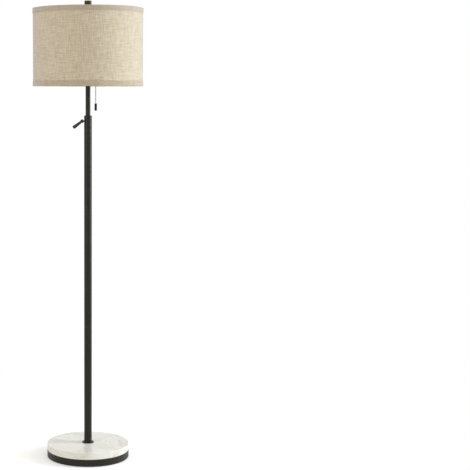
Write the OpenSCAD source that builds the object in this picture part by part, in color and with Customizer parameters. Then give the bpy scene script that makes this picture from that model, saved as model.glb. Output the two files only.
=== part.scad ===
// Adjustable floor lamp: stone-topped round base, telescoping pole with a lever clamp,
// pull-chain lampholder, harp and linen drum shade.
// Millimetres, +Z up. The origin is on the floor, on the pole's axis.
// The clamp lever points to -X, the pull chain hangs on the +X side, and the cord inlet is at +Y.

/* [Base] */
// Diameter of the base: the stone and the black pan below it are the same
base_d = 270; // [230:1:320]
// Height of the pan below the stone, from its rim to its top
pan_h = 22.5; // [18:0.5:30]
// Sheet thickness of the pan
pan_wall = 1.2; // [0.8:0.1:1.6]
// Rounding of the pan's top edge
pan_round = 2; // [1.7:0.1:4]
// Thickness of the stone slab
slab_t = 21.5; // [12:0.5:30]
// Rounding of the slab's two edges
slab_round = 1.4; // [0.5:0.1:3]
// Diameter of one foot pad
pad_d = 20; // [12:1:30]
// Height of the foot pads
pad_h = 2.5; // [1:0.5:5]
// Distance from the pads to the inside of the pan's wall
pad_inset = 16; // [4:1:60]
// Number of foot pads
pad_count = 4; // [3:1:6]
// Thickness of the sheet that closes the base below
cover_t = 1.5; // [0.8:0.1:2]
// Diameter of the cast weight in the pan
weight_d = 190; // [150:1:220]
// Iron left above the pocket in the weight
weight_web = 7; // [5:0.5:9]
// Chamfer on the weight's top edge
weight_chamfer = 2; // [1.5:0.1:4]
// Diameter of the pocket for the nut in the weight
pocket_d = 36; // [28:1:60]

/* [Tie rod] */
// Outside diameter of the hollow threaded rod that holds the base together
rod_d = 10; // [9:0.5:11]
// Bore of that rod, for the wires
rod_bore = 7; // [4:0.5:7.5]
// Thickness of the rod's nut
nut_t = 5; // [3:0.5:6]
// Width of the nut across its flats
nut_af = 17; // [15:0.5:20]
// Thickness of the lock washer
washer_t = 1.5; // [1:0.1:2]
// Outside diameter of the lock washer
washer_d = 19; // [16:0.5:24]
// Length of rod below the nut
rod_tail = 1.2; // [0.5:0.1:1.5]
// How far the rod screws into the plug in the pole
rod_reach = 15; // [8:1:17]

/* [Cord inlet] */
// Bore of the gland that the cord would come in through
gland_bore = 6; // [4:0.5:6.5]
// Diameter of the gland's neck
gland_neck_d = 8.4; // [8:0.1:9]
// Diameter of the gland's flange
gland_flange_d = 12; // [10:0.5:14]
// Thickness of the gland's flange
gland_flange_t = 2; // [1:0.5:3]
// Width of the gland's nut across its flats
gland_nut_af = 11; // [10.5:0.1:12]
// Thickness of the gland's nut
gland_nut_t = 3; // [2:0.5:4]
// Length of the gland's neck past its nut
gland_tail = 1; // [0.5:0.1:3]
// Width of the wire channel in the weight
channel_w = 16; // [14:1:24]

/* [Pole] */
// Outside diameter of the lower pole
pole_d = 25.4; // [24:0.1:30]
// Wall of the lower pole
pole_wall = 1.2; // [0.8:0.1:1.4]
// Length of each of the three lower sections
section_l = 347; // [300:1:400]
// Diameter of the washer that the pole stands on
flange_d = 39; // [30:1:60]
// Thickness of that washer
flange_t = 3; // [2:0.5:6]
// Chamfer on that washer's top edge
flange_chamfer = 0.7; // [0.2:0.1:1.5]
// Length of the threaded plug in the pole's foot
plug_l = 18; // [18:1:40]
// Length of the couplers between sections
coupler_l = 40; // [20:1:80]
// Bore of the couplers
coupler_bore = 16; // [8:0.5:17]
// Chamfer at the ends of the sections, which shows as a hairline
seam_chamfer = 0.3; // [0.1:0.1:0.6]

/* [Clamp] */
// Height of the collar above the pole
collar_h = 38; // [30:1:60]
// Thickness of the lip at the collar's top, above its bushing
lip_t = 1.5; // [1:0.5:3]
// Outside diameter of the nylon bushing in the collar
bushing_d = 20; // [18.5:0.1:20.4]
// Distance from the collar's top to the clamp screw
stud_drop = 18; // [10:1:26]
// Diameter of the clamp screw's thread
stud_d = 6; // [5.6:0.1:7]
// Length of full thread that shows outside the pole
stud_show = 0.5; // [0.3:0.1:2]
// Diameter of the screw's neck beside the ball
neck_d = 4.2; // [3:0.1:5.4]
// Diameter of the ball on the screw
ball_d = 11.8; // [9:0.1:14]
// Distance from the pole's axis to the ball's middle
ball_reach = 22; // [20.5:0.1:30]
// Diameter of the pad between the screw and the tube
clamp_pad_d = 5.2; // [3:0.1:5.4]
// Angle between the screw and its handle
lever_lean = 60; // [50:1:90]
// Turn of the handle from straight down towards the rear, when clamped
lever_roll = 49; // [-90:1:90]
// Length of the handle, from the ball's middle to its end
lever_l = 38; // [25:0.5:60]
// Diameter of the handle beside the ball
lever_root_d = 7.9; // [5:0.1:8.9]
// Diameter of the handle at its end
lever_tip_d = 11.6; // [9:0.1:14]
// Height of the dome on the handle's end
lever_dome = 2.4; // [1:0.1:4]
// Diameter of the handle's pin in the ball
lever_pin_d = 4; // [3:0.1:4.5]

/* [Upper tube] */
// Outside diameter of the upper tube
tube_d = 15.9; // [15:0.1:16.4]
// Wall of the upper tube
tube_wall = 1.2; // [0.8:0.1:1.5]
// Length of upper tube above the collar when it is right down
tube_show = 121; // [60:1:300]
// How far the upper tube slides up
travel = 250; // [120:1:255]
// Height of the guide bush on the tube's foot
bush_h = 20; // [10:1:40]
// Thickness of the rings that hold the bush on the tube
ring_t = 1.2; // [0.8:0.1:2]
// Radial width of those rings
ring_w = 1.5; // [1:0.1:1.7]
// Length of tube below the lower ring
tube_tail = 1; // [0.5:0.1:3]
// Length of the plug in the tube's top
top_plug_l = 16; // [8:1:40]
// Length of the nipple above the harp saddle
nipple_l = 8; // [6:0.5:9]

/* [Socket] */
// Width of the harp saddle's strip
saddle_w = 14; // [12.5:0.5:20]
// Thickness of the harp saddle's strip
saddle_t = 2; // [1.6:0.1:3]
// Outside diameter of the socket's cap
cap_d = 33; // [32.8:0.1:38]
// Height of the socket's cap
cap_h = 22; // [20:0.5:24]
// Wall of the socket's cap
cap_wall = 0.6; // [0.4:0.1:0.7]
// Diameter of the cap's threaded neck
cap_neck_d = 14; // [13.5:0.5:16]
// Height of that neck
cap_neck_h = 4; // [3:0.5:5]
// Outside diameter of the socket's shell
shell_d = 31.6; // [31.4:0.1:31.6]
// Height of the shell's top above the saddle
shell_top = 64; // [60:1:66]
// Overlap of the cap and the shell
shell_overlap = 8; // [3:0.5:8]
// Wall of the shell
shell_wall = 0.5; // [0.3:0.1:0.6]
// Wall of the card liner in the shell
liner_wall = 0.8; // [0.5:0.1:0.8]
// How far the liner stands out of the shell
liner_proud = 2; // [0:0.5:3]
// Height of the moulded switch body's bottom above the cap's neck
switch_rise = 5.9; // [5.6:0.1:8]
// Height of the moulded switch body's top above the saddle
switch_top = 40; // [36:1:42]
// Bore of the screw shell, for the bulb's cap
screw_bore = 26.4; // [26.3:0.1:26.6]
// Wall of the screw shell
screw_wall = 0.4; // [0.3:0.1:0.6]
// Thickness of the screw shell's floor
screw_floor = 0.6; // [0.4:0.1:1]
// How far the screw shell's edge lies below the socket shell's
screw_drop = 1; // [0.5:0.1:3]
// Diameter of the centre contact
contact_d = 6; // [4:0.5:8]
// Clearance round the centre contact
contact_gap = 2; // [1:0.1:3]
// Height of the centre contact
contact_h = 2; // [1:0.1:3]

/* [Pull chain] */
// Distance from the lamp's axis to the chain
chain_reach = 28.8; // [26:0.1:34]
// Height of the chain guide's arm above the saddle
arm_z = 31; // [29:0.5:34]
// Diameter of the guide's arm
arm_d = 6.4; // [5:0.1:7.6]
// Diameter of the guide's barrel
barrel_d = 8; // [6:0.1:10]
// Length of barrel below the arm's middle
barrel_drop = 12; // [8:0.5:20]
// Length of barrel above the arm's middle
barrel_rise = 5; // [4.5:0.5:8]
// Thickness of the barrel's closed top
barrel_roof = 1.5; // [0.5:0.1:2]
// Diameter of one bead
bead_d = 3.2; // [2.4:0.1:4]
// Distance from bead to bead
bead_pitch = 4.4; // [4.1:0.1:6]
// Diameter of the wire between the beads
link_d = 1.2; // [0.8:0.1:1.6]
// Radial clearance of the beads in the guide, and of its arm in the shell
chain_play = 0.2; // [0.1:0.05:0.3]
// Number of beads that hang below the guide
bead_count = 23; // [10:1:26]
// Length of wire between the last bead and the knob
knob_gap = 0.7; // [0.3:0.1:2]
// Diameter of the chain's knob
knob_d = 8; // [6.5:0.1:12]
// Length of the chain's knob
knob_l = 23.5; // [15:0.5:40]
// Chamfer on the knob's two ends
knob_chamfer = 0.5; // [0.2:0.1:1.5]

/* [Harp] */
// Height of the harp, from the saddle to the shade's seat
harp_h = 203; // [190:1:230]
// Diameter of the harp's wire
harp_wire_d = 3.6; // [3:0.1:4.2]
// Distance from the axis to each leg
harp_foot = 28.9; // [27:0.1:34]
// Length of the straight part of each leg
harp_straight = 31; // [30:1:40]
// Angle at which the legs spread, and lean in again
harp_spread = 30; // [26:1:33]
// Radius of the bends above the straight parts
harp_foot_bend = 60; // [40:1:70]
// Radius of the harp's wide sides
harp_side_bend = 80; // [60:1:85]
// Radius of the two bends at the top
harp_top_bend = 24; // [16:1:30]
// Half of the flat at the top
harp_flat = 8; // [7.4:0.1:12]
// Height of the saddle's ears beside the legs
ear_h = 12; // [6:1:14]
// Thickness of those ears
ear_t = 1.6; // [1:0.1:2]
// Width of those ears
ear_w = 4.4; // [2:0.1:4.6]
// Length of the sleeves that lock the harp to the saddle
sleeve_l = 14; // [10:0.5:16]
// Wall of those sleeves
sleeve_wall = 0.8; // [0.5:0.1:1.2]
// Diameter of the block that carries the shade on the harp's top
seat_d = 14; // [12:0.5:14.5]
// Metal between the harp's wire and that block's top
seat_web = 1.8; // [1:0.1:3]
// Diameter of the threaded stud that the finial screws on
stud_top_d = 6.3; // [5:0.1:6.6]
// Length of that stud above the shade's hub
stud_top_l = 11; // [6:0.5:14]

/* [Shade] */
// Outside diameter of the linen drum
drum_d = 353.6; // [300:0.1:420]
// Height of the shade, with its trim
shade_h = 248; // [225:1:252]
// Thickness of the drum's wall: linen on a stiff liner
drum_wall = 1.4; // [0.8:0.1:2]
// Thickness of the trim bands
trim_t = 1.2; // [0.6:0.1:2]
// Height of the trim bands
trim_h = 15.5; // [8:0.5:30]
// Thickness of the trim where it folds over the rim
fold_t = 0.6; // [0.4:0.1:1]
// Diameter of the wire of the rings and the spider
wire_d = 3.2; // [2.5:0.1:4]
// How far the hub's top lies below the shade's rim
hub_drop = 13; // [9:0.5:30]
// Diameter of the spider's hub
hub_d = 24; // [20:1:40]
// Thickness of the spider's hub
hub_t = 3; // [2:0.5:5]
// Hole in the hub, over the harp's stud
hub_hole = 7; // [6.8:0.1:10]
// Number of spider arms
arm_count = 3; // [3:1:4]
// Direction of the first arm
arm_start = -90; // [-180:1:180]
// Diameter of the arms' wire
arm_wire_d = 2.8; // [2:0.1:3]
// How far each arm reaches into the hub
arm_root = 2.5; // [1.5:0.1:4]

/* [Finial] */
// Diameter of the finial
finial_d = 23; // [12:0.5:30]
// Height of the finial
finial_h = 37; // [20:0.5:60]
// Chamfer on the finial's edges
finial_chamfer = 0.8; // [0.3:0.1:2]

/* [Bulb] */
// Diameter of the bulb's screw cap
bulb_cap_d = 26; // [25.8:0.1:26.1]
// Height of the bulb's screw cap
bulb_cap_h = 25; // [22:0.5:28]
// Diameter of the bulb's globe
globe_d = 60; // [45:1:70]
// Height of the bulb from end to end
bulb_h = 110; // [95:1:125]
// Widest diameter of the bulb's moulded body
bulb_body_d = 54; // [40:1:58]
// Wall of the globe
globe_wall = 1.2; // [0.8:0.1:2]
// Step from the screw cap out to the moulded body
bulb_step = 0.6; // [0.2:0.1:1]
// Diameter of the contact at the cap's tip
bulb_tip_d = 9; // [6:0.5:12]
// Height of that contact
bulb_tip_h = 1.2; // [0.6:0.1:2]
// Height of the black cone between the contact and the cap's thread
bulb_cone_h = 4; // [2:0.5:6]

/* [Fits] */
// Radial clearance of pieces that slide or turn in each other
run_gap = 0.05; // [0.02:0.01:0.08]
// Radial clearance of pieces that are pushed or screwed together
seat_gap = 0.05; // [0.02:0.01:0.1]
// Radial clearance of holes that something only passes through
free_gap = 0.3; // [0.1:0.05:0.5]
// Clearance along the axis at the end of a travel
end_gap = 0.3; // [0.1:0.05:0.5]

/* [Hidden] */
$fn = 96;
cut = 1; // how far a cutting shape reaches past what it cuts

// Levels of the base, from the floor up
pan_z0 = pad_h;
pan_z1 = pan_z0 + pan_h;
slab_z1 = pan_z1 + slab_t;
flange_z1 = slab_z1 + flange_t;
weight_z0 = pan_z0 + cover_t;
weight_z1 = pan_z1 - pan_wall;
pocket_z1 = weight_z1 - weight_web;
nut_z1 = pocket_z1 - washer_t;
nut_z0 = nut_z1 - nut_t;
rod_z0 = nut_z0 - rod_tail;
rod_z1 = flange_z1 + rod_reach;

// Radii of the base
base_r = base_d / 2;
pan_inner_r = base_r - pan_wall;
pad_reach = pan_inner_r - pad_inset - pad_d / 2;
rod_hole_r = rod_d / 2 + free_gap;

// Cord inlet in the pan's rear wall
gland_z = pan_z0 + pan_h / 2;
gland_nut_corner = gland_nut_af / 2 / cos(30);
gland_nut_y1 = sqrt(pow(pan_inner_r, 2) - pow(gland_nut_corner, 2)) - seat_gap;
gland_nut_y0 = gland_nut_y1 - gland_nut_t;
gland_y0 = gland_nut_y0 - gland_tail;
channel_z1 = gland_z + gland_nut_af / 2 + free_gap;

// Levels of the pole and its clamp
pole_z0 = flange_z1;
seam_1 = pole_z0 + section_l;
seam_2 = seam_1 + section_l;
collar_z0 = seam_2 + section_l;
collar_z1 = collar_z0 + collar_h;
stud_z = collar_z1 - stud_drop;
pole_inner_r = pole_d / 2 - pole_wall;
insert_r = pole_inner_r - seat_gap;

// The upper tube's foot stands on the upper coupler
bush_z0 = seam_2 + coupler_l / 2;
bush_z1 = bush_z0 + bush_h;
ring_play = 0.1;
ring_r = tube_d / 2 + ring_w;
low_ring_z0 = bush_z0 - ring_play - ring_t;
high_ring_z1 = bush_z1 + ring_play + ring_t;
tube_z0 = low_ring_z0 - tube_tail;
tube_z1 = collar_z1 + tube_show;
spigot_z0 = high_ring_z1 + travel + end_gap;

// Clamp screw, measured from the pole's axis
pad_x0 = tube_d / 2 + 2 * run_gap;
pad_x1 = bushing_d / 2 + run_gap;
stud_x0 = pad_x1 + run_gap;
neck_x0 = pole_d / 2 + stud_show;
ball_r = ball_d / 2;

// Socket and harp, measured up from the saddle
saddle_z1 = tube_z1 + saddle_t;
nipple_z1 = saddle_z1 + nipple_l;
cap_r = cap_d / 2;
cap_curve_r = cap_r - cap_neck_d / 2;
cap_curve_z = saddle_z1 + cap_neck_h + cap_curve_r;
shell_r = shell_d / 2;
shell_z0 = saddle_z1 + cap_h - shell_overlap;
shell_z1 = saddle_z1 + shell_top;
liner_r = shell_r - shell_wall - seat_gap;
switch_r = liner_r - liner_wall - seat_gap;
switch_z0 = saddle_z1 + cap_neck_h + switch_rise;
switch_z1 = saddle_z1 + switch_top;
screw_r = screw_bore / 2;
contact_r = contact_d / 2;
contact_z1 = switch_z1 + contact_h;

// Pull chain
arm_level = saddle_z1 + arm_z;
barrel_z0 = arm_level - barrel_drop;
barrel_z1 = arm_level + barrel_rise;
link_top_z = barrel_z1 - barrel_roof - bead_d / 2 - end_gap;
link_beads = 1 + floor((link_top_z - barrel_z0) / bead_pitch);
link_low_z = link_top_z - (link_beads - 1) * bead_pitch;
chain_gap = 0.3;
chain_pivot_z = link_low_z - bead_pitch / 2;
chain_top_z = link_low_z - bead_pitch;
chain_low_z = chain_top_z - (bead_count - 1) * bead_pitch;
knob_z1 = chain_low_z - bead_d / 2 - knob_gap;
knob_z0 = knob_z1 - knob_l;
knob_hole = 3;

// Harp: two unknown straight lengths follow from its height and from where its legs stand
harp_wire_r = harp_wire_d / 2;
harp_z1 = saddle_z1 + harp_h;
harp_wire_z = harp_z1 - seat_web - harp_wire_r;
harp_rise = harp_wire_z - saddle_z1 - harp_straight;
harp_sum = (harp_rise - (harp_foot_bend + 2 * harp_side_bend) * sin(harp_spread)
    - harp_top_bend * (1 - sin(harp_spread))) / cos(harp_spread);
harp_step = (harp_flat - harp_foot - harp_foot_bend * (1 - cos(harp_spread))
    + harp_top_bend * cos(harp_spread)) / sin(harp_spread);
harp_out = (harp_sum + harp_step) / 2;
harp_in = (harp_sum - harp_step) / 2;

// The saddle's ear and the leg stand side by side in the sleeve
ear_y1 = harp_foot - harp_wire_r - 2 * run_gap;
ear_y0 = ear_y1 - ear_t;
sleeve_y = (ear_y0 + harp_foot + harp_wire_r) / 2;
sleeve_half = harp_foot + harp_wire_r - sleeve_y;
sleeve_bore_r = sqrt(pow(sleeve_half, 2) + pow(ear_w / 2, 2)) + run_gap;
sleeve_r = sleeve_bore_r + sleeve_wall;
saddle_half = sleeve_y + sleeve_r;

// Shade
hub_z0 = harp_z1;
hub_z1 = hub_z0 + hub_t;
shade_z1 = hub_z1 + hub_drop;
shade_z0 = shade_z1 - shade_h;
drum_r = drum_d / 2;
drum_inner_r = drum_r - drum_wall;
wire_r = wire_d / 2;
ring_reach = drum_inner_r - seat_gap - wire_r;
top_ring_z = shade_z1 - fold_t - seat_gap - wire_r;
low_ring_z = shade_z0 + fold_t + seat_gap + wire_r;

// The spider's arms pass just under the finial's edge and rise straight to the ring
arm_wire_r = arm_wire_d / 2;
arm_r0 = hub_d / 2 - arm_root;
arm_clear_r = max(finial_d / 2, arm_r0);
arm_clear_z = hub_z1 - arm_wire_r - end_gap;
arm_slope = (top_ring_z - arm_clear_z) / (ring_reach - arm_clear_r);
arm_z0 = arm_clear_z - arm_slope * (arm_clear_r - arm_r0);

// Bulb
bulb_z0 = contact_z1 + ring_play;
bulb_cap_z1 = bulb_z0 + bulb_cap_h;
bulb_z1 = bulb_z0 + bulb_h;
globe_z = bulb_z1 - globe_d / 2;
globe_z0 = globe_z - sqrt(pow(globe_d / 2, 2) - pow(bulb_body_d / 2, 2));

// Solid round bar from one level to another
module bar(z0, z1, r) {
    translate([0, 0, z0]) cylinder(h = z1 - z0, r = r);
}

// Round tube from one level to another
module pipe(z0, z1, outer_r, inner_r) {
    difference() {
        bar(z0, z1, outer_r);
        bar(z0 - cut, z1 + cut, inner_r);
    }
}

// Hexagon nut with a round bore, standing on z0
module hex_nut(z0, z1, across_flats, bore_r) {
    difference() {
        translate([0, 0, z0]) cylinder(h = z1 - z0, r = across_flats / 2 / cos(30), $fn = 6);
        bar(z0 - cut, z1 + cut, bore_r);
    }
}

// Places its children on the clamp screw's axis, with z pointing out of the pole
module on_stud() {
    translate([0, 0, stud_z]) rotate([0, -90, 0]) children();
}

// Places its children on the cord inlet's axis, with z pointing out of the base
module on_inlet() {
    translate([0, 0, gland_z]) rotate([-90, 0, 0]) children();
}

// Base

module foot_pads() {
    color("#1c1b19")
        for (k = [0 : pad_count - 1])
            rotate([0, 0, k * 360 / pad_count]) translate([pad_reach, 0, 0])
                cylinder(h = pad_h, d = pad_d);
}

module bottom_cover() {
    color("#2b2926") bar(pan_z0, pan_z0 + cover_t, pan_inner_r - free_gap);
}

// Cast disc, with a pocket for the nut and a channel for the wires
module base_weight() {
    weight_r = weight_d / 2;
    color("#4a4744") difference() {
        rotate_extrude() polygon([
            [0, weight_z0], [weight_r, weight_z0], [weight_r, weight_z1 - weight_chamfer],
            [weight_r - weight_chamfer, weight_z1], [0, weight_z1]
        ]);
        bar(weight_z0 - cut, pocket_z1, pocket_d / 2);
        bar(pocket_z1 - cut, weight_z1 + cut, rod_hole_r);
        translate([-channel_w / 2, 0, weight_z0 - cut])
            cube([channel_w, base_r, channel_z1 - weight_z0 + cut]);
    }
}

// Half section of a drawn pan: a flat top, a rounded edge and a straight wall
module pan_section(r, z1, round_r) {
    difference() {
        translate([0, pan_z0]) square([r, z1 - pan_z0]);
        translate([r - round_r, z1 - round_r]) square(round_r + cut);
    }
    intersection() {
        translate([r - round_r, z1 - round_r]) circle(r = round_r);
        translate([r - round_r, z1 - round_r]) square(round_r + cut);
    }
}

module base_pan() {
    color("#232220") difference() {
        rotate_extrude() difference() {
            pan_section(base_r, pan_z1, pan_round);
            pan_section(pan_inner_r, pan_z1 - pan_wall, pan_round - pan_wall);
        }
        bar(pan_z0, pan_z1 + cut, rod_hole_r);
        on_inlet() bar(base_r / 2, base_r + cut, gland_neck_d / 2 + seat_gap);
    }
}

module cord_gland() {
    color("#1b1a18") on_inlet() difference() {
        union() {
            bar(gland_y0, base_r + gland_flange_t, gland_neck_d / 2);
            bar(base_r, base_r + gland_flange_t, gland_flange_d / 2);
        }
        bar(gland_y0 - cut, base_r + gland_flange_t + cut, gland_bore / 2);
    }
}

module gland_nut() {
    color("#1b1a18") on_inlet()
        hex_nut(gland_nut_y0, gland_nut_y1, gland_nut_af, gland_neck_d / 2 + seat_gap);
}

// Stone disc with softly rounded edges and a hole for the rod
module marble_slab() {
    color("#e6e2d8") difference() {
        rotate_extrude() {
            translate([0, pan_z1]) square([base_r - slab_round, slab_t]);
            translate([0, pan_z1 + slab_round]) square([base_r, slab_t - 2 * slab_round]);
            for (z = [pan_z1 + slab_round, slab_z1 - slab_round])
                translate([base_r - slab_round, z]) circle(r = slab_round);
        }
        bar(pan_z1 - cut, slab_z1 + cut, rod_hole_r);
    }
}

module pole_flange() {
    c = flange_chamfer;
    color("#2b2926") rotate_extrude() polygon([
        [rod_hole_r, slab_z1], [flange_d / 2, slab_z1], [flange_d / 2, flange_z1 - c],
        [flange_d / 2 - c, flange_z1], [rod_hole_r, flange_z1]
    ]);
}

module tie_rod() {
    color("#8d8a83") pipe(rod_z0, rod_z1, rod_d / 2, rod_bore / 2);
}

module lock_washer() {
    color("#8d8a83") pipe(nut_z1, pocket_z1, washer_d / 2, rod_d / 2 + seat_gap);
}

module tie_nut() {
    color("#8d8a83") hex_nut(nut_z0, nut_z1, nut_af, rod_d / 2 + seat_gap);
}

// Lower pole: three equal sections on two couplers

module pole_foot_plug() {
    color("#8d8a83") pipe(pole_z0, pole_z0 + plug_l, insert_r, rod_d / 2 + seat_gap);
}

module pole_section(z0) {
    z1 = z0 + section_l;
    c = seam_chamfer;
    color("#2c2a27") rotate_extrude() polygon([
        [pole_inner_r, z0], [pole_d / 2 - c, z0], [pole_d / 2, z0 + c],
        [pole_d / 2, z1 - c], [pole_d / 2 - c, z1], [pole_inner_r, z1]
    ]);
}

module lower_pole() pole_section(pole_z0);

module lower_coupler() {
    color("#8d8a83") pipe(seam_1 - coupler_l / 2, seam_1 + coupler_l / 2, insert_r, coupler_bore / 2);
}

module middle_pole() pole_section(seam_1);

// The upper coupler has a pocket for the end of the upper tube
module upper_coupler() {
    color("#8d8a83") difference() {
        pipe(seam_2 - coupler_l / 2, bush_z0, insert_r, coupler_bore / 2);
        bar(tube_z0 - end_gap, bush_z0 + cut, ring_r + free_gap);
    }
}

module top_pole() pole_section(seam_2);

// Clamp: a collar on the pole, a bushing that guides the tube, and a screw with a lever

module clamp_collar() {
    c = seam_chamfer;
    bore_r = bushing_d / 2 + seat_gap;
    lip_r = tube_d / 2 + free_gap;
    color("#2c2a27") difference() {
        rotate_extrude() polygon([
            [bore_r, spigot_z0], [insert_r, spigot_z0], [insert_r, collar_z0],
            [pole_d / 2 - c, collar_z0], [pole_d / 2, collar_z0 + c],
            [pole_d / 2, collar_z1 - c], [pole_d / 2 - c, collar_z1],
            [lip_r, collar_z1], [lip_r, collar_z1 - lip_t], [bore_r, collar_z1 - lip_t]
        ]);
        on_stud() bar(bore_r / 2, pole_d, stud_d / 2 + run_gap);
    }
}

module collar_bushing() {
    color("#d8d3c6") difference() {
        pipe(spigot_z0, collar_z1 - lip_t, bushing_d / 2, tube_d / 2 + run_gap);
        on_stud() bar(tube_d / 4, pole_d, clamp_pad_d / 2 + 2 * run_gap);
    }
}

module clamp_pad() {
    color("#b08d4a") on_stud() bar(pad_x0, pad_x1, clamp_pad_d / 2);
}

// Threaded end, tapered neck and ball, turned in one piece
module clamp_screw() {
    color("#2a2724") on_stud() difference() {
        union() {
            bar(stud_x0, neck_x0, stud_d / 2);
            translate([0, 0, neck_x0])
                cylinder(h = ball_reach - neck_x0, r1 = stud_d / 2, r2 = neck_d / 2);
            translate([0, 0, ball_reach]) sphere(r = ball_r);
        }
        on_ball() bar(ball_r / 2 - seat_gap, ball_d, lever_pin_d / 2 + seat_gap);
    }
}

// Places its children on the ball, with z pointing along the handle
module on_ball() {
    translate([0, 0, ball_reach]) rotate([0, lever_lean, 180 - lever_roll]) children();
}

module lever_handle() {
    dome_z = lever_l - lever_dome;
    pin_inside = 1;
    dome_r = (pow(lever_dome, 2) + pow(lever_tip_d / 2, 2)) / (2 * lever_dome);
    color("#2a2724") on_stud() on_ball() {
        difference() {
            translate([0, 0, ball_r / 2])
                cylinder(h = dome_z - ball_r / 2, r1 = lever_root_d / 2, r2 = lever_tip_d / 2);
            sphere(r = ball_r + seat_gap);
        }
        bar(ball_r / 2, ball_r + pin_inside, lever_pin_d / 2);
        intersection() {
            translate([0, 0, lever_l - dome_r]) sphere(r = dome_r);
            bar(dome_z, lever_l + cut, lever_tip_d);
        }
    }
}

// Upper tube, its bush and its fittings

module guide_bush() {
    color("#d8d3c6") pipe(bush_z0, bush_z1, pole_inner_r - run_gap, tube_d / 2 + run_gap);
}

module retaining_rings() {
    color("#77746e") {
        pipe(low_ring_z0, low_ring_z0 + ring_t, ring_r, tube_d / 2 + seat_gap);
        pipe(high_ring_z1 - ring_t, high_ring_z1, ring_r, tube_d / 2 + seat_gap);
    }
}

module upper_tube() {
    color("#2c2a27") pipe(tube_z0, tube_z1, tube_d / 2, tube_d / 2 - tube_wall);
}

module top_nipple() {
    color("#8d8a83") difference() {
        union() {
            bar(tube_z1 - top_plug_l, tube_z1, tube_d / 2 - tube_wall - seat_gap);
            bar(tube_z1, nipple_z1, rod_d / 2);
        }
        bar(tube_z1 - top_plug_l - cut, nipple_z1 + cut, rod_bore / 2);
    }
}

// Bent strip that carries the harp: a flat bar with two ears
module harp_saddle() {
    color("#8a7a52") difference() {
        union() {
            translate([-saddle_w / 2, -saddle_half, tube_z1])
                cube([saddle_w, 2 * saddle_half, saddle_t]);
            for (side = [0, 1]) mirror([0, side, 0])
                translate([-ear_w / 2, ear_y0, tube_z1]) cube([ear_w, ear_t, saddle_t + ear_h]);
        }
        bar(tube_z1 - cut, saddle_z1 + cut, rod_d / 2 + seat_gap);
    }
}

// Socket

// Half section of the cap: a neck, a quarter-round shoulder and a straight rim
module cap_section(grow) {
    translate([0, saddle_z1]) square([cap_neck_d / 2, cap_curve_z - saddle_z1]);
    intersection() {
        translate([cap_neck_d / 2, cap_curve_z]) circle(r = cap_curve_r + grow);
        translate([0, saddle_z1]) square([cap_r, cap_curve_z - saddle_z1]);
    }
    translate([0, cap_curve_z]) square([cap_r + grow, saddle_z1 + cap_h - cap_curve_z]);
}

module socket_cap() {
    inner_r = cap_r - cap_wall;
    color("#3a332b") difference() {
        rotate_extrude() cap_section(0);
        rotate_extrude() {
            intersection() {
                translate([cap_neck_d / 2, cap_curve_z]) circle(r = cap_curve_r - cap_wall);
                translate([0, cap_curve_z - cap_curve_r]) square([inner_r, cap_curve_r]);
            }
            translate([0, cap_curve_z - cap_curve_r + cap_wall])
                square([cap_neck_d / 2, cap_h]);
            translate([0, cap_curve_z]) square([inner_r, cap_h]);
        }
        bar(saddle_z1 - cut, cap_curve_z, rod_d / 2 + seat_gap);
    }
}

module socket_shell() {
    color("#3a332b") difference() {
        pipe(shell_z0, shell_z1, shell_r, shell_r - shell_wall);
        chain_way();
    }
}

module socket_liner() {
    color("#b9ad96") difference() {
        pipe(shell_z0, shell_z1 + liner_proud, liner_r, liner_r - liner_wall);
        chain_way();
    }
}

// Hole that the chain guide's arm comes out through
module chain_way() {
    translate([0, 0, arm_level]) rotate([0, 90, 0])
        cylinder(h = cap_d, r = arm_d / 2 + chain_play);
}

module switch_body() {
    color("#26231f") bar(switch_z0, switch_z1, switch_r);
}

// Brass cup that the bulb screws into
module screw_shell() {
    color("#b08d4a") difference() {
        bar(switch_z1, shell_z1 - screw_drop, screw_r + screw_wall);
        bar(switch_z1 + screw_floor, shell_z1, screw_r);
        bar(switch_z1 - cut, switch_z1 + cut, contact_r + contact_gap);
    }
}

module centre_contact() {
    color("#b08d4a") bar(switch_z1, contact_z1, contact_r);
}

// Pull chain

// Arm out of the socket with a barrel that the chain runs down through
module chain_guide() {
    bore_r = bead_d / 2 + chain_play;
    mouth = (barrel_d / 2 - bore_r) / 2;
    color("#3a332b") difference() {
        union() {
            translate([switch_r + seat_gap, 0, arm_level]) rotate([0, 90, 0])
                cylinder(h = chain_reach - switch_r - seat_gap, d = arm_d);
            translate([chain_reach, 0, 0]) bar(barrel_z0, barrel_z1, barrel_d / 2);
        }
        translate([chain_reach, 0, 0]) {
            bar(barrel_z0 - cut, barrel_z1 - barrel_roof, bore_r);
            translate([0, 0, barrel_z0 - cut])
                cylinder(h = mouth + cut, r1 = bore_r + mouth + cut, r2 = bore_r);
        }
    }
}

// A run of beads on one wire, from its highest bead down
module beads(high_z, count, wire_z0, wire_z1) {
    translate([chain_reach, 0, 0]) {
        for (k = [0 : count - 1])
            translate([0, 0, high_z - k * bead_pitch]) sphere(d = bead_d);
        bar(wire_z0, wire_z1, link_d / 2);
    }
}

// The beads inside the guide, which the switch pulls back up
module pull_link() {
    color("#6d5a34")
        beads(link_top_z, link_beads, chain_pivot_z + chain_gap / 2, link_top_z);
}

module bead_chain() {
    color("#6d5a34")
        beads(chain_top_z, bead_count, knob_z1 - knob_hole + end_gap,
            chain_pivot_z - chain_gap / 2);
}

module chain_knob() {
    c = knob_chamfer;
    r = knob_d / 2;
    color("#2a2724") translate([chain_reach, 0, 0]) difference() {
        rotate_extrude() polygon([
            [0, knob_z0], [r - c, knob_z0], [r, knob_z0 + c], [r, knob_z1 - c],
            [r - c, knob_z1], [0, knob_z1]
        ]);
        bar(knob_z1 - knob_hole, knob_z1 + cut, link_d / 2 + 2 * seat_gap);
    }
}

// Harp: a wire bow in the YZ plane, made of straights and round bends

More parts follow.
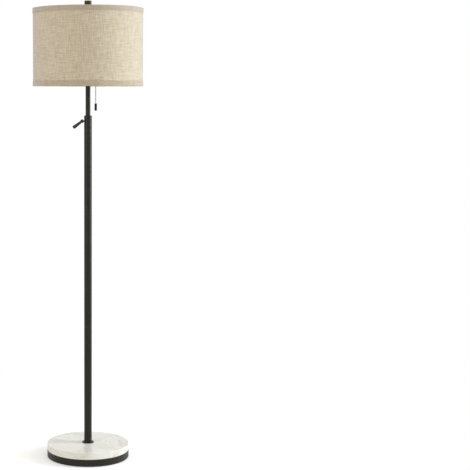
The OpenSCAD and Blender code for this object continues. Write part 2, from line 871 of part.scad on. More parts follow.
// Straight of the bow from (y, z), at an angle from straight up towards the outside
module bow_straight(y, z, lean, length) {
    translate([0, y, z]) rotate([-lean, 0, 0]) cylinder(h = length, r = harp_wire_r);
}

// Bend of the bow about (y, z), from one angle to another. It is a hair thinner than the
// straights, and its two ends lie just inside them.
module bow_bend(y, z, bend_r, from, to) {
    thinner = 0.03;
    inside = 0.3;
    extra = inside / bend_r * 180 / PI;
    translate([0, y, z]) rotate([90, 0, 90]) rotate([0, 0, from - extra])
        rotate_extrude(angle = to - from + 2 * extra)
            translate([bend_r, 0]) circle(r = harp_wire_r - thinner);
}

module half_bow() {
    s = sin(harp_spread);
    c = cos(harp_spread);
    z1 = saddle_z1 + harp_straight;
    y2 = harp_foot + harp_foot_bend * (1 - c);
    z2 = z1 + harp_foot_bend * s;
    y3 = y2 + harp_out * s;
    z3 = z2 + harp_out * c;
    z4 = z3 + 2 * harp_side_bend * s;
    y5 = y3 - harp_in * s;
    z5 = z4 + harp_in * c;
    translate([0, harp_foot, saddle_z1]) cylinder(h = harp_straight, r = harp_wire_r);
    bow_bend(harp_foot + harp_foot_bend, z1, harp_foot_bend, 180 - harp_spread, 180);
    bow_straight(y2, z2, harp_spread, harp_out);
    bow_bend(y3 - harp_side_bend * c, z3 + harp_side_bend * s, harp_side_bend,
        -harp_spread, harp_spread);
    bow_straight(y3, z4, -harp_spread, harp_in);
    bow_bend(y5 - harp_top_bend * c, z5 - harp_top_bend * s, harp_top_bend, harp_spread, 90);
}

module harp_bow() {
    color("#8a7a52") {
        half_bow();
        mirror([0, 1, 0]) half_bow();
        translate([0, harp_flat, harp_wire_z]) rotate([90, 0, 0])
            cylinder(h = 2 * harp_flat, r = harp_wire_r);
    }
}

module sleeve() {
    color("#8a7a52") translate([0, sleeve_y, 0])
        pipe(saddle_z1, saddle_z1 + sleeve_l, sleeve_r, sleeve_bore_r);
}

module front_sleeve() mirror([0, 1, 0]) sleeve();

module rear_sleeve() sleeve();

// Block on the harp's top, with the stud for the finial
module harp_stud() {
    color("#8a7a52") difference() {
        union() {
            bar(harp_wire_z - harp_wire_d, harp_z1, seat_d / 2);
            bar(harp_z1, hub_z1 + stud_top_l, stud_top_d / 2);
        }
        translate([0, -seat_d, harp_wire_z]) rotate([-90, 0, 0])
            cylinder(h = 2 * seat_d, r = harp_wire_r + seat_gap);
    }
}

// Shade

// Ring of round wire
module wire_ring(z) {
    translate([0, 0, z]) rotate_extrude() translate([ring_reach, 0]) circle(r = wire_r);
}

// One arm of the spider, sloping up from the hub to the ring
module spider_arm() {
    run = ring_reach - arm_r0;
    rise = top_ring_z - arm_z0;
    translate([arm_r0, 0, arm_z0]) rotate([0, atan2(run, rise), 0])
        cylinder(h = sqrt(pow(run, 2) + pow(rise, 2)), r = arm_wire_r);
}

module spider() {
    color("#d9d6cd") difference() {
        union() {
            wire_ring(top_ring_z);
            bar(hub_z0, hub_z1, hub_d / 2);
            for (k = [0 : arm_count - 1])
                rotate([0, 0, arm_start + k * 360 / arm_count]) spider_arm();
        }
        bar(hub_z0 - cut, hub_z1 + cut, hub_hole / 2);
    }
}

module bottom_ring() {
    color("#d9d6cd") wire_ring(low_ring_z);
}

module shade_drum() {
    color("#cdbfa3") pipe(shade_z0 + fold_t, shade_z1 - fold_t, drum_r, drum_inner_r);
}

// Section of a trim band at the top rim: down the outside, and over the rim and the ring
module trim_section() {
    band_r = drum_r + seat_gap / 2;
    fold_r = ring_reach - wire_r;
    polygon([
        [band_r, -trim_h], [drum_r + trim_t, -trim_h], [drum_r + trim_t, 0],
        [fold_r, 0], [fold_r, -fold_t], [band_r, -fold_t]
    ]);
}

module top_trim() {
    color("#b3a78e") rotate_extrude() translate([0, shade_z1]) trim_section();
}

module bottom_trim() {
    color("#b3a78e") rotate_extrude() translate([0, shade_z0]) mirror([0, 1]) trim_section();
}

module finial() {
    c = finial_chamfer;
    r = finial_d / 2;
    z1 = hub_z1 + finial_h;
    color("#3b2f24") difference() {
        rotate_extrude() polygon([
            [0, hub_z1], [r - c, hub_z1], [r, hub_z1 + c], [r, z1 - c], [r - c, z1], [0, z1]
        ]);
        bar(hub_z1 - cut, hub_z1 + stud_top_l + end_gap, stud_top_d / 2 + seat_gap);
    }
}

// Bulb

module bulb_cap() {
    r = bulb_cap_d / 2;
    tip_r = bulb_tip_d / 2;
    cone_z1 = bulb_z0 + bulb_cone_h;
    curl = 1;
    color("#b9b7b1") rotate_extrude() polygon([
        [0, bulb_z0], [tip_r, bulb_z0], [tip_r, bulb_z0 + bulb_tip_h], [r - 2 * curl, cone_z1],
        [r, cone_z1 + curl], [r, bulb_cap_z1], [0, bulb_cap_z1]
    ]);
}

module bulb_body() {
    low_r = bulb_cap_d / 2 + bulb_step;
    high_r = bulb_body_d / 2;
    rise = globe_z0 - bulb_cap_z1;
    flare_z0 = bulb_cap_z1 + rise / 5;
    flare_z1 = globe_z0 - rise / 5;
    lean = 1;
    color("#efeee9") rotate_extrude() polygon([
        [0, bulb_cap_z1], [low_r, bulb_cap_z1], [low_r + lean, flare_z0],
        [high_r - 2 * lean, flare_z1], [high_r, globe_z0], [0, globe_z0]
    ]);
}

module bulb_globe() {
    color("#f6f4ee") difference() {
        translate([0, 0, globe_z]) sphere(d = globe_d);
        translate([0, 0, globe_z]) sphere(d = globe_d - 2 * globe_wall);
        bar(globe_z - globe_d, globe_z0, globe_d);
    }
}

foot_pads();
bottom_cover();
base_weight();
base_pan();
cord_gland();
gland_nut();
marble_slab();
pole_flange();
tie_rod();
lock_washer();
tie_nut();
pole_foot_plug();
lower_pole();
lower_coupler();
middle_pole();
upper_coupler();
top_pole();
clamp_collar();
collar_bushing();
clamp_pad();
clamp_screw();
lever_handle();
guide_bush();
retaining_rings();
upper_tube();
top_nipple();
harp_saddle();
socket_cap();
socket_shell();
socket_liner();
switch_body();
screw_shell();
centre_contact();
chain_guide();
pull_link();
bead_chain();
chain_knob();
harp_bow();
front_sleeve();
rear_sleeve();
harp_stud();
spider();
bottom_ring();
shade_drum();
top_trim();
bottom_trim();
finial();
bulb_cap();
bulb_body();
bulb_globe();
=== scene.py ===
import math

import bmesh
import bpy
from mathutils import Matrix, Vector


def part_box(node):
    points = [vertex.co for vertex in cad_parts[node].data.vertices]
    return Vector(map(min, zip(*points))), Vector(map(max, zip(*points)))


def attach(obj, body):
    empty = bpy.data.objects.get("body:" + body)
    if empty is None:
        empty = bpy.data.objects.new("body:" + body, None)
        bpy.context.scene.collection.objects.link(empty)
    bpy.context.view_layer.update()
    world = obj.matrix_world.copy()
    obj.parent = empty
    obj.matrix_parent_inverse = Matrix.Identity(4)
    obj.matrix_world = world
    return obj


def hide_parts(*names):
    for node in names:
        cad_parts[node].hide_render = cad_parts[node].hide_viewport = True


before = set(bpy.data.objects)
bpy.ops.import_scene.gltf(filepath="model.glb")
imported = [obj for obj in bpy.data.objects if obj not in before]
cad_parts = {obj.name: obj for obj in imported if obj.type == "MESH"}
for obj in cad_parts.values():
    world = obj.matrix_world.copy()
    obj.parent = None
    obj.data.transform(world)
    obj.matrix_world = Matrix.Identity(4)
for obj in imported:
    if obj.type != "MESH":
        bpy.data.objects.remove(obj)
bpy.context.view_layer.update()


# Foot pads
# Small discs of black rubber, cut from sheet and glued under the bottom cover,
# so that the base stands level and doesn't scratch the floor.

def add(tree, kind, takes=None, **settings):
    """Adds a node. What it takes is linked when it is a socket, and set when it is a value."""
    made = tree.nodes.new(kind)
    for name, value in settings.items():
        setattr(made, name, value)
    for key, value in (takes or {}).items():
        if isinstance(value, bpy.types.NodeSocket):
            tree.links.new(value, made.inputs[key])
        else:
            made.inputs[key].default_value = value
    return made


def calc(tree, operation, *values, clamp=False):
    """One step of arithmetic on sockets or numbers."""
    return add(tree, "ShaderNodeMath", dict(enumerate(values)), operation=operation,
               use_clamp=clamp).outputs[0]


def spread(tree, value, low, high, new_low=0.0, new_high=1.0):
    """Carries a value's range to a new one, with soft ends."""
    takes = {0: value, 1: low, 2: high, 3: new_low, 4: new_high}
    return add(tree, "ShaderNodeMapRange", takes, interpolation_type="SMOOTHSTEP").outputs[0]


def between(tree, amount, first, second):
    """A colour between two others."""
    first = (*first, 1) if isinstance(first, tuple) else first
    second = (*second, 1) if isinstance(second, tuple) else second
    return add(tree, "ShaderNodeMix", {0: amount, 6: first, 7: second},
               data_type="RGBA").outputs[2]


def noise(tree, point, scale, detail=2.0, rough=0.5, twist=0.0):
    """A random pattern whose marks are about one over the scale, in metres."""
    takes = {"Vector": point, "Scale": scale, "Detail": detail, "Roughness": rough,
             "Distortion": twist}
    return add(tree, "ShaderNodeTexNoise", takes).outputs[0]


def effect(name, takes, gives):
    """Starts a shared effect with named inputs and outputs."""
    tree = bpy.data.node_groups.new(name, "ShaderNodeTree")
    for label, value in takes.items():
        kind = "NodeSocketVector" if value is None else "NodeSocketFloat"
        socket = tree.interface.new_socket(label, in_out="INPUT", socket_type=kind)
        if value is not None:
            socket.default_value = value
    for label in gives:
        tree.interface.new_socket(label, in_out="OUTPUT", socket_type="NodeSocketFloat")
    start = tree.nodes.new("NodeGroupInput")
    end = tree.nodes.new("NodeGroupOutput")
    return tree, start.outputs, end.inputs


def give(tree, end, **results):
    """Links what a shared effect gives."""
    for label, socket in results.items():
        tree.links.new(socket, end[label])


# Fine grain with slow clouds under it, for moulded, cast and sprayed surfaces
surface_grain, start, end = effect(
    "surface_grain", {"Point": None, "Grain": 900.0, "Cloud": 30.0}, ["Grain", "Cloud"])
give(surface_grain, end,
     Grain=noise(surface_grain, start["Point"], start["Grain"], 3.0, 0.6),
     Cloud=noise(surface_grain, start["Point"], start["Cloud"], 4.0, 0.55, 0.6))


def new_finish(name, roughness, metallic=0.0, **constants):
    """A material with its Principled shader; constants are set on the shader's own sockets."""
    material = bpy.data.materials.new(name)
    material.use_nodes = True
    tree = material.node_tree
    shader = next(n for n in tree.nodes if n.type == "BSDF_PRINCIPLED")
    shader.inputs["Metallic"].default_value = metallic
    shader.inputs["Roughness"].default_value = roughness
    for socket, value in constants.items():
        shader.inputs[socket.replace("_", " ")].default_value = value
    return material, tree, shader


def surface(tree, shader, colour, roughness, height, depth):
    """Gives the shader its colour, roughness and relief; depth is the relief's height in metres."""
    tree.links.new(colour, shader.inputs["Base Color"])
    if roughness is not None:
        tree.links.new(roughness, shader.inputs["Roughness"])
    bump = add(tree, "ShaderNodeBump", {"Height": height, "Strength": 1.0, "Distance": depth})
    tree.links.new(bump.outputs[0], shader.inputs["Normal"])


def own_point(tree):
    """The point on the piece, in metres."""
    return add(tree, "ShaderNodeTexCoord").outputs["Object"]


def grained(name, pale, deep, rough, grain, cloud, depth=0.00004):
    """A finish with grain in its relief and clouds in its colour and gloss."""
    material, tree, shader = new_finish(name, rough)
    marks = add(tree, "ShaderNodeGroup", {"Point": own_point(tree), "Grain": grain, "Cloud": cloud},
                node_tree=surface_grain).outputs
    surface(tree, shader, between(tree, spread(tree, marks["Cloud"], 0.3, 0.7), deep, pale),
            spread(tree, marks["Cloud"], 0.25, 0.75, rough - 0.08, rough + 0.08),
            marks["Grain"], depth)
    return material


def dress(material, *names):
    """Puts a finish on CAD nodes."""
    for name in names:
        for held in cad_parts[name].material_slots:
            held.material = material


dress(grained("pad_rubber", (0.034, 0.033, 0.031), (0.022, 0.021, 0.02), 0.82,
              grain=2600.0, cloud=90.0, depth=0.00008), "foot_pads")


# Bottom cover and base weight
# A disc of pressed black felt closes the pan below. Above it lies the cast iron weight,
# as it came from its sand mould, which keeps the tall lamp from tipping.

felt, tree, shader = new_finish("pressed_felt", 0.95, Sheen_Weight=0.35, Sheen_Roughness=0.6)
point = own_point(tree)
fibres = noise(tree, point, 1500.0, 5.0, 0.75, 2.5)
tufts = noise(tree, point, 160.0, 3.0, 0.6, 1.0)
surface(tree, shader, between(tree, fibres, (0.018, 0.0175, 0.0165), (0.11, 0.105, 0.098)), None,
        calc(tree, "MULTIPLY_ADD", fibres, 0.6, tufts), 0.00035)
dress(felt, "bottom_cover")

iron, tree, shader = new_finish("cast_iron", 0.72, 0.75)
point = own_point(tree)
sand = noise(tree, point, 700.0, 4.0, 0.7)
pits = spread(tree, noise(tree, point, 240.0, 2.0, 0.5), 0.24, 0.4)
rust = spread(tree, noise(tree, point, 45.0, 5.0, 0.65, 0.8), 0.56, 0.72)
surface(tree, shader,
        between(tree, rust, between(tree, sand, (0.07, 0.067, 0.063), (0.16, 0.155, 0.148)),
                (0.16, 0.075, 0.035)),
        spread(tree, rust, 0.0, 1.0, 0.6, 0.88), calc(tree, "MULTIPLY", sand, pits), 0.0005)
dress(iron, "base_weight")


# Base pan
# A shallow round pan of spun sheet steel, turned upside down, with a rounded upper edge.
# It is sprayed satin black over a warm brown primer, which shows where the edge is rubbed.

# Rubbing along an edge that runs level round the piece, broken up as hands and cloths leave it
edge_rub, start, end = effect("edge_rub", {"Point": None, "Level": 0.0, "Reach": 0.001}, ["Rub"])
height = add(edge_rub, "ShaderNodeSeparateXYZ", {0: start["Point"]}).outputs[2]
away = calc(edge_rub, "ABSOLUTE", calc(edge_rub, "SUBTRACT", height, start["Level"]))
near = calc(edge_rub, "SUBTRACT", 1.0, calc(edge_rub, "DIVIDE", away, start["Reach"]), clamp=True)
patches = spread(edge_rub, noise(edge_rub, start["Point"], 420.0, 3.0, 0.6), 0.38, 0.66)
give(edge_rub, end, Rub=calc(edge_rub, "MULTIPLY", near, patches))


def rubbed(tree, point, *edges):
    """The rub on several level edges together; each is its height and its reach in metres."""
    total = None
    for level, reach in edges:
        one = add(tree, "ShaderNodeGroup", {"Point": point, "Level": level, "Reach": reach},
                  node_tree=edge_rub).outputs["Rub"]
        total = one if total is None else calc(tree, "MAXIMUM", total, one)
    return total


def ends_of(*names, reach=0.0007):
    """The upper and lower edges of CAD nodes, as levels for the rub."""
    levels = sorted({round(corner.z, 5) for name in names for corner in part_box(name)})
    return [(level, reach) for level in levels]


enamel, tree, shader = new_finish("black_enamel", 0.42, Specular_IOR_Level=0.25,
                                  Specular_Tint=(1.0, 0.93, 0.82, 1))
point = own_point(tree)
marks = add(tree, "ShaderNodeGroup", {"Point": point, "Grain": 520.0, "Cloud": 14.0},
            node_tree=surface_grain).outputs
pan_low, pan_high = (corner.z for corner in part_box("base_pan"))
rub = rubbed(tree, point, (pan_high - 0.0008, 0.0016), (pan_low, 0.0012))
paint = between(tree, marks["Cloud"], (0.0125, 0.0115, 0.0095), (0.0175, 0.016, 0.0135))
surface(tree, shader, between(tree, calc(tree, "MULTIPLY", rub, 0.5), paint, (0.1, 0.07, 0.045)),
        spread(tree, marks["Cloud"], 0.2, 0.8, 0.38, 0.5), marks["Grain"], 0.00003)
dress(enamel, "base_pan")


# Cord gland and its nut
# A black nylon strain relief, moulded, pushed through the pan's rear wall and held
# inside by a hexagonal nut of the same nylon. The cord passes through its bore.

dress(grained("black_nylon", (0.036, 0.035, 0.034), (0.025, 0.024, 0.023), 0.46,
              grain=1600.0, cloud=120.0, depth=0.00003), "cord_gland", "gland_nut")


# Marble slab
# A disc of honed white marble with faint grey and beige veins, its edge eased by hand.
# It rests in the pan's rim and is clamped between the pan and the pole by the tie rod.

marble, tree, shader = new_finish("white_marble", 0.3, Coat_Weight=0.12, Coat_Roughness=0.18)
point = own_point(tree)
drift = add(tree, "ShaderNodeTexNoise", {"Vector": point, "Scale": 7.0, "Detail": 3.0}).outputs[1]
bent = add(tree, "ShaderNodeMix", {0: 0.16, 4: point, 5: drift}, data_type="VECTOR").outputs[1]


def veins(scale, width, detail):
    """Thin lines where a slow pattern passes its middle."""
    pattern = noise(tree, bent, scale, detail, 0.55)
    return spread(tree, calc(tree, "ABSOLUTE", calc(tree, "SUBTRACT", pattern, 0.5)),
                  0.0, width, 1.0, 0.0)


where = spread(tree, noise(tree, point, 9.0, 2.0), 0.4, 0.62)
broad = calc(tree, "MULTIPLY", veins(9.0, 0.11, 5.0), 0.5)
fine = calc(tree, "MULTIPLY", veins(20.0, 0.022, 6.0), where)
crystal = noise(tree, point, 900.0, 2.0, 0.7)
stone = between(tree, spread(tree, crystal, 0.3, 0.7), (0.83, 0.81, 0.745), (0.88, 0.865, 0.805))
stone = between(tree, calc(tree, "MULTIPLY", broad, spread(tree, noise(tree, point, 14.0), 0.3, 0.7)),
                stone, (0.66, 0.6, 0.5))
stone = between(tree, calc(tree, "MULTIPLY", fine, 0.55), stone, (0.42, 0.4, 0.36))
surface(tree, shader, stone, spread(tree, crystal, 0.25, 0.75, 0.26, 0.4),
        calc(tree, "MULTIPLY_ADD", fine, -0.5, crystal), 0.000025)
dress(marble, "marble_slab")


# Flange washer, tie rod, lock washer, nut and foot plug
# The pole stands on a turned flange washer. A hollow threaded rod runs from a nut and
# toothed washer under the pan up into the foot plug pressed into the pole. The wires pass
# through it. The rod, plug and nuts are zinc-plated steel, and the flange is lacquered.

# Marks drawn out in one direction, round a turned piece or along a drawn tube
drawn_marks, start, end = effect(
    "drawn_marks", {"Point": None, "Across": 1500.0, "Up": 20.0}, ["Marks"])
parts = add(drawn_marks, "ShaderNodeSeparateXYZ", {0: start["Point"]}).outputs
stretched = add(drawn_marks, "ShaderNodeCombineXYZ", {
    0: calc(drawn_marks, "MULTIPLY", parts[0], start["Across"]),
    1: calc(drawn_marks, "MULTIPLY", parts[1], start["Across"]),
    2: calc(drawn_marks, "MULTIPLY", parts[2], start["Up"])}).outputs[0]
give(drawn_marks, end, Marks=noise(drawn_marks, stretched, 1.0, 3.0, 0.65))

# A screw thread round the Z axis, as a height
screw_thread, start, end = effect("screw_thread", {"Point": None, "Pitch": 0.001}, ["Height"])
parts = add(screw_thread, "ShaderNodeSeparateXYZ", {0: start["Point"]}).outputs
turn = calc(screw_thread, "DIVIDE", calc(screw_thread, "ARCTAN2", parts[1], parts[0]), math.tau)
rise = calc(screw_thread, "SUBTRACT", calc(screw_thread, "DIVIDE", parts[2], start["Pitch"]), turn)
give(screw_thread, end, Height=calc(screw_thread, "PINGPONG", rise, 0.5))


def plated(name, pale, deep, rough, pitch=None):
    """Bare or plated metal with turning marks, and a thread where it has a pitch."""
    material, tree, shader = new_finish(name, rough, 1.0)
    point = own_point(tree)
    marks = add(tree, "ShaderNodeGroup", {"Point": point, "Across": 25.0, "Up": 1600.0},
                node_tree=drawn_marks).outputs["Marks"]
    cloud = noise(tree, point, 120.0, 4.0, 0.6)
    height, depth = marks, 0.00002
    if pitch:
        cut = add(tree, "ShaderNodeGroup", {"Point": point, "Pitch": pitch},
                  node_tree=screw_thread).outputs["Height"]
        height = calc(tree, "MULTIPLY_ADD", cut, 2.0, calc(tree, "MULTIPLY", marks, 0.06))
        depth = pitch * 0.35
    surface(tree, shader, between(tree, cloud, deep, pale),
            spread(tree, marks, 0.2, 0.8, rough - 0.08, rough + 0.12), height, depth)
    return material


ZINC = ((0.58, 0.57, 0.54), (0.43, 0.42, 0.39))
ROD_PITCH = 0.00094
zinc_steel = plated("zinc_steel", *ZINC, 0.34)
zinc_thread = plated("zinc_thread", *ZINC, 0.38, ROD_PITCH)
dress(zinc_steel, "lock_washer", "tie_nut", "pole_foot_plug")
dress(zinc_thread, "tie_rod")


def bronzed(name, pale, deep, rub_colour, rough, edges, across=900.0, up=14.0, depth=0.000006,
            metallic=0.0, **constants):
    """Dark lacquer over brushed steel, with drawn marks and warm metal on its rubbed edges."""
    constants = {"Specular_IOR_Level": 0.2, **constants}
    material, tree, shader = new_finish(name, rough, metallic, **constants)
    point = own_point(tree)
    marks = add(tree, "ShaderNodeGroup", {"Point": point, "Across": across, "Up": up},
                node_tree=drawn_marks).outputs["Marks"]
    clouds = add(tree, "ShaderNodeGroup", {"Point": point, "Grain": 1400.0, "Cloud": 36.0},
                 node_tree=surface_grain).outputs
    lacquer = between(tree, spread(tree, clouds["Cloud"], 0.3, 0.7), deep, pale)
    if edges:
        rub = rubbed(tree, point, *edges)
        lacquer = between(tree, calc(tree, "MULTIPLY", rub, 0.7), lacquer, rub_colour)
    surface(tree, shader, lacquer, spread(tree, marks, 0.25, 0.75, rough - 0.03, rough + 0.05),
            calc(tree, "MULTIPLY_ADD", clouds["Grain"], 0.35, marks), depth)
    return material


BRONZE = ((0.0185, 0.0165, 0.013), (0.0125, 0.0115, 0.0095), (0.1, 0.066, 0.037))
dress(bronzed("bronze_flange", *BRONZE, 0.36, ends_of("pole_flange"), 40.0, 1400.0), "pole_flange")


# Lower pole
# Three lengths of 25 mm steel tube, screwed together on hidden threaded couplers, so that
# the lamp ships in a short box. They are sprayed with satin oil-rubbed bronze lacquer.

dress(zinc_thread, "lower_coupler", "upper_coupler")
dress(bronzed("bronze_pole", *BRONZE, 0.3,
              ends_of("lower_pole", "middle_pole", "top_pole", reach=0.0006)),
      "lower_pole", "middle_pole", "top_pole")


# Clamp collar and bushing
# A turned collar presses into the pole's top. The white nylon bushing inside it keeps the
# upper tube straight and lets it slide without a scratch.

dress(bronzed("bronze_collar", *BRONZE, 0.3, ends_of("clamp_collar")), "clamp_collar")
dress(grained("white_nylon", (0.74, 0.72, 0.655), (0.69, 0.67, 0.6), 0.48,
              grain=700.0, cloud=60.0), "collar_bushing", "guide_bush")


# Clamp pad, screw and lever
# The lever turns a short screw, whose brass pad presses on the upper tube. Screw and ball
# are one turned piece, and the tapered handle is pressed on a pin in the ball.

dress(plated("plain_brass", (0.76, 0.59, 0.3), (0.64, 0.47, 0.22), 0.3), "clamp_pad")

hardware, tree, shader = new_finish("dark_bronze_hardware", 0.38, 0.0, Specular_IOR_Level=0.35)
point = own_point(tree)
marks = add(tree, "ShaderNodeGroup", {"Point": point, "Grain": 1500.0, "Cloud": 190.0},
            node_tree=surface_grain).outputs
surface(tree, shader,
        between(tree, spread(tree, marks["Cloud"], 0.6, 0.78), (0.0125, 0.011, 0.0095),
                (0.05, 0.033, 0.019)),
        spread(tree, marks["Grain"], 0.25, 0.75, 0.26, 0.42), marks["Grain"], 0.00003)
dress(hardware, "clamp_screw", "lever_handle")


# Guide bush, retaining rings and upper tube
# The bush rides inside the pole on the upper tube's foot, between two spring rings, and
# stops the tube from being pulled out. The 16 mm tube carries the whole lit head.

dress(plated("spring_steel", (0.34, 0.335, 0.32), (0.24, 0.235, 0.22), 0.36), "retaining_rings")
WARM_BRONZE = ((0.023, 0.0185, 0.0135), (0.016, 0.0135, 0.0105), (0.11, 0.071, 0.04))
dress(bronzed("bronze_tube", *WARM_BRONZE, 0.3, ends_of("upper_tube")), "upper_tube")


# Top nipple and harp saddle
# A threaded hollow nipple joins the tube to the socket cap. Between them it clamps a
# pressed strip whose two ears hold the harp's legs.

dress(zinc_thread, "top_nipple")
dress(plated("antique_brass", (0.44, 0.335, 0.18), (0.31, 0.23, 0.115), 0.36), "harp_saddle")


# Socket
# A pressed shell and cap hold the moulded switch body in a card liner. The bulb screws
# into the brass screw shell and rests on the centre contact. An arm guides the chain.

dress(bronzed("bronze_socket", (0.05, 0.037, 0.026), (0.038, 0.029, 0.021), (0.2, 0.13, 0.07),
              0.34, ends_of("socket_cap", "socket_shell"), 30.0, 1500.0),
      "socket_cap", "socket_shell", "chain_guide")

card, tree, shader = new_finish("socket_card", 0.85)
point = own_point(tree)
fibres = noise(tree, point, 1300.0, 5.0, 0.7, 1.8)
surface(tree, shader, between(tree, fibres, (0.42, 0.345, 0.22), (0.63, 0.56, 0.44)), None,
        fibres, 0.00012)
dress(card, "socket_liner")
dress(grained("black_phenolic", (0.026, 0.024, 0.022), (0.019, 0.018, 0.017), 0.24,
              grain=500.0, cloud=160.0, depth=0.00001), "switch_body")
SHELL_PITCH = 0.00363
dress(plated("brass_thread", (0.74, 0.57, 0.29), (0.6, 0.44, 0.2), 0.28, SHELL_PITCH),
      "screw_shell")
dress(plated("brass_contact", (0.76, 0.59, 0.31), (0.62, 0.46, 0.22), 0.3), "centre_contact")


# Pull chain
# Hollow beads of bronzed brass on short wires. The first four hang from the switch inside
# the guide, and the rest hang free below it, with a turned knob on the last.

BEAD_R = 0.0016
BEAD_PITCH = 0.0044
WIRE_R = 0.0006
CHAIN_X = 0.0288


def shape_tree(name, **takes):
    """Starts a Geometry Nodes tree with named inputs."""
    tree = bpy.data.node_groups.new(name, "GeometryNodeTree")
    kinds = {float: "NodeSocketFloat", int: "NodeSocketInt", bpy.types.Material: "NodeSocketMaterial"}
    tree.interface.new_socket("Geometry", in_out="OUTPUT", socket_type="NodeSocketGeometry")
    for label, value in takes.items():
        kind = next(k for t, k in kinds.items() if isinstance(value, t))
        socket = tree.interface.new_socket(label.replace("_", " "), in_out="INPUT", socket_type=kind)
        socket.default_value = value
    return tree, tree.nodes.new("NodeGroupInput").outputs, tree.nodes.new("NodeGroupOutput").inputs


def grow(name, tree, **values):
    """Runs a Geometry Nodes tree on an empty mesh and keeps the result as a plain mesh."""
    seed = bpy.data.objects.new(name + "_seed", bpy.data.meshes.new(name + "_seed"))
    bpy.context.scene.collection.objects.link(seed)
    modifier = seed.modifiers.new("shape", "NODES")
    modifier.node_group = tree
    sockets = {item.name: item.identifier for item in tree.interface.items_tree
               if item.in_out == "INPUT"}
    for label, value in values.items():
        modifier[sockets[label.replace("_", " ")]] = value
    bpy.context.view_layer.update()
    result = seed.evaluated_get(bpy.context.evaluated_depsgraph_get())
    mesh = bpy.data.meshes.new_from_object(result)
    mesh.name = name
    bpy.data.objects.remove(seed)
    made = bpy.data.objects.new(name, mesh)
    bpy.context.scene.collection.objects.link(made)
    return made


def vector(tree, x=0.0, y=0.0, z=0.0):
    """A place or a step, from numbers or sockets in metres."""
    return add(tree, "ShaderNodeCombineXYZ", {0: x, 1: y, 2: z}).outputs[0]


chain_brass, tree, shader = new_finish("chain_brass", 0.32, 0.9)
point = own_point(tree)
tarnish = noise(tree, point, 700.0, 3.0, 0.6)
surface(tree, shader, between(tree, spread(tree, tarnish, 0.35, 0.7), (0.05, 0.036, 0.024),
                              (0.15, 0.105, 0.066)),
        spread(tree, tarnish, 0.3, 0.7, 0.26, 0.42), tarnish, 0.00003)

chain_tree, start, end = shape_tree("bead_row", Count=1, Top=0.0, Out=CHAIN_X, Bead=BEAD_R,
                                    Pitch=BEAD_PITCH, Wire=WIRE_R, Metal=chain_brass)
step = vector(chain_tree, z=calc(chain_tree, "MULTIPLY", start["Pitch"], -1.0))
first = vector(chain_tree, start["Out"], 0.0, start["Top"])
row = add(chain_tree, "GeometryNodeMeshLine", {"Count": start["Count"], "Start Location": first,
                                               "Offset": step}).outputs[0]
bead = add(chain_tree, "GeometryNodeMeshUVSphere", {"Segments": 14, "Rings": 9,
                                                    "Radius": start["Bead"]}).outputs[0]
beads = add(chain_tree, "GeometryNodeInstanceOnPoints", {"Points": row, "Instance": bead})
links = calc(chain_tree, "SUBTRACT", start["Count"], 1)
half = calc(chain_tree, "MULTIPLY", start["Pitch"], -0.5)
middle = add(chain_tree, "ShaderNodeVectorMath", {0: first, 1: vector(chain_tree, z=half)},
             operation="ADD").outputs[0]
gaps = add(chain_tree, "GeometryNodeMeshLine", {"Count": links, "Start Location": middle,
                                                "Offset": step}).outputs[0]
wire = add(chain_tree, "GeometryNodeMeshCylinder", {
    "Vertices": 8, "Radius": start["Wire"],
    "Depth": calc(chain_tree, "SUBTRACT", start["Pitch"], start["Bead"])}).outputs[0]
wires = add(chain_tree, "GeometryNodeInstanceOnPoints", {"Points": gaps, "Instance": wire})
both = chain_tree.nodes.new("GeometryNodeJoinGeometry")
for piece in (beads, wires):
    chain_tree.links.new(piece.outputs[0], both.inputs[0])
solid = add(chain_tree, "GeometryNodeRealizeInstances", {0: both.outputs[0]}).outputs[0]
smooth = add(chain_tree, "GeometryNodeSetShadeSmooth", {0: solid}).outputs[0]
metal = add(chain_tree, "GeometryNodeSetMaterial", {0: smooth, "Material": start["Metal"]})
chain_tree.links.new(metal.outputs[0], end[0])

for node, count, body in (("bead_chain", 23, "pull_chain"), ("pull_link", 4, "switch_link")):
    chain = grow(node + "_beads", chain_tree, Count=count, Top=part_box(node)[1].z - BEAD_R)
    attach(chain, body)
    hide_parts(node)

knob = bronzed("bronze_knob", (0.019, 0.0155, 0.0125), (0.0135, 0.0115, 0.0095), (0.11, 0.073, 0.042),
               0.36, ends_of("chain_knob", reach=0.0009), 60.0, 1500.0)
dress(knob, "chain_knob")


# Harp, locking sleeves and stud
# A bow of bent steel wire springs into the saddle's ears, and two sleeves slide down over
# its feet to lock it. The stud on its top carries the shade and the finial.

dress(bronzed("bronze_harp", (0.052, 0.038, 0.027), (0.04, 0.03, 0.022), (0.16, 0.1, 0.06),
              0.34, [], 1200.0, 40.0, metallic=0.55), "harp_bow", "front_sleeve", "rear_sleeve")
dress(plated("stud_thread", (0.46, 0.36, 0.2), (0.33, 0.25, 0.13), 0.34, 0.00094), "harp_stud")


# Spider and bottom ring
# Three wire arms join a small hub to the shade's top ring, all welded and powder-coated
# white. A second ring of the same wire keeps the shade's bottom round.

dress(grained("white_enamel", (0.8, 0.79, 0.75), (0.75, 0.74, 0.7), 0.42,
              grain=1300.0, cloud=45.0, depth=0.00003), "spider", "bottom_ring")


# Shade
# Natural slubbed linen is glued to a stiff white liner, rolled into a drum and lapped at
# the back. Some of its threads are thicker and darker, and stand a little proud.

DRUM_R = 0.1768
LINEN_T = 0.0006
LAP = 0.011
DRUM_LOW = 1.2231
DRUM_TALL = 0.2468
SEAM_ANGLE = math.radians(58.0)

